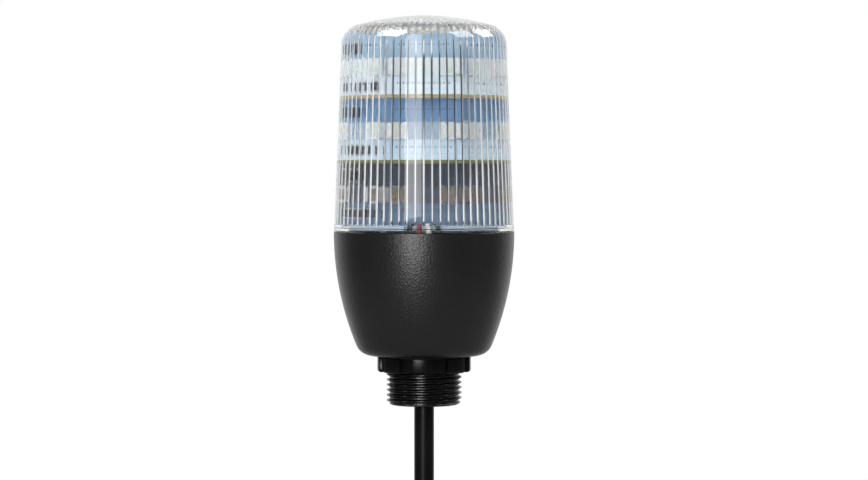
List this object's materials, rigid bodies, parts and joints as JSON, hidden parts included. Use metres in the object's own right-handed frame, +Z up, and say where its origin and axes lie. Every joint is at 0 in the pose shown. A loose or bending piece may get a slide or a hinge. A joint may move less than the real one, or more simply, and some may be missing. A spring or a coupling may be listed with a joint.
{
  "type": "stack light",
  "caption": "Compact LED stack light with a clear fluted dome, barrelled black base, threaded panel-mount stem, ring nut and fitted lead.",
  "frame": {"origin": "centre of the underside that seats on the panel", "axes": "+Z up the light's axis to the dome, -Y towards the front, the stem and lead go down -Z"},
  "size_m": [0.0528, 0.0528, 0.2281],
  "materials": {
    "clear_polycarbonate": "clear gloss",
    "black_housing_plastic": "fine spark-eroded grain",
    "black_nut_nylon": "semi-gloss",
    "black_seal_rubber": "matt",
    "board_white_mask": "solder mask",
    "disc_board_laminate": "glass-epoxy laminate",
    "lower_board_mask": "solder mask",
    "middle_board_mask": "solder mask",
    "upper_board_mask": "solder mask",
    "led_package": "moulded white package",
    "capacitor_sleeve": "shrunk sleeve",
    "black_component_epoxy": "moulded epoxy",
    "header_black_plastic": "moulded",
    "zinc_plated_screw": "zinc plated",
    "lead_black_pvc": "satin jacket",
    "tie_black_nylon": "moulded",
    "core_insulation_mixed": "insulated cores with tinned ends",
    "core_black_pvc": "insulation",
    "core_red_pvc": "insulation",
    "core_white_pvc": "insulation",
    "core_green_pvc": "insulation"
  },
  "bodies": {
    "light": {"base_housing": "black_housing_plastic", "bridge_rectifier": "black_component_epoxy", "cable": "lead_black_pvc", "cable_grommet": "black_seal_rubber", "cable_hank": "lead_black_pvc", "cable_tie": "tie_black_nylon", "carrier_board": "board_white_mask", "carrier_screws": "zinc_plated_screw", "core_black": "core_black_pvc", "core_green": "core_green_pvc", "core_red": "core_red_pvc", "core_white": "core_white_pvc", "lead_inner_end": "lead_black_pvc", "lens_cover": "clear_polycarbonate", "lens_seal": "black_seal_rubber", "lower_header": "header_black_plastic", "lower_led_board_1": "lower_board_mask", "lower_led_board_2": "lower_board_mask", "lower_led_board_3": "lower_board_mask", "lower_led_board_4": "lower_board_mask", "lower_led_board_5": "lower_board_mask", "lower_led_board_6": "lower_board_mask", "lower_leds": "led_package", "lower_regulators": "black_component_epoxy", "lower_resistors": "black_component_epoxy", "lower_tier_disc": "disc_board_laminate", "middle_header": "header_black_plastic", "middle_led_board_1": "middle_board_mask", "middle_led_board_2": "middle_board_mask", "middle_led_board_3": "middle_board_mask", "middle_led_board_4": "middle_board_mask", "middle_led_board_5": "middle_board_mask", "middle_led_board_6": "middle_board_mask", "middle_leds": "led_package", "middle_regulators": "black_component_epoxy", "middle_resistors": "black_component_epoxy", "middle_tier_disc": "disc_board_laminate", "panel_gasket": "black_seal_rubber", "power_board": "board_white_mask", "power_header": "header_black_plastic", "smoothing_capacitor": "capacitor_sleeve", "stripped_cores": "core_insulation_mixed", "top_disc": "disc_board_laminate", "upper_header": "header_black_plastic", "upper_led_board_1": "upper_board_mask", "upper_led_board_2": "upper_board_mask", "upper_led_board_3": "upper_board_mask", "upper_led_board_4": "upper_board_mask", "upper_led_board_5": "upper_board_mask", "upper_led_board_6": "upper_board_mask", "upper_leds": "led_package", "upper_regulators": "black_component_epoxy", "upper_resistors": "black_component_epoxy"},
    "nut": {"mounting_nut": "black_nut_nylon"}
  },
  "joints": [
    {"name": "nut_travel", "type": "slide", "parent": "light", "child": "nut", "axis": [0, 0, -1], "range_m": [0, 0.0141]}
  ]
}
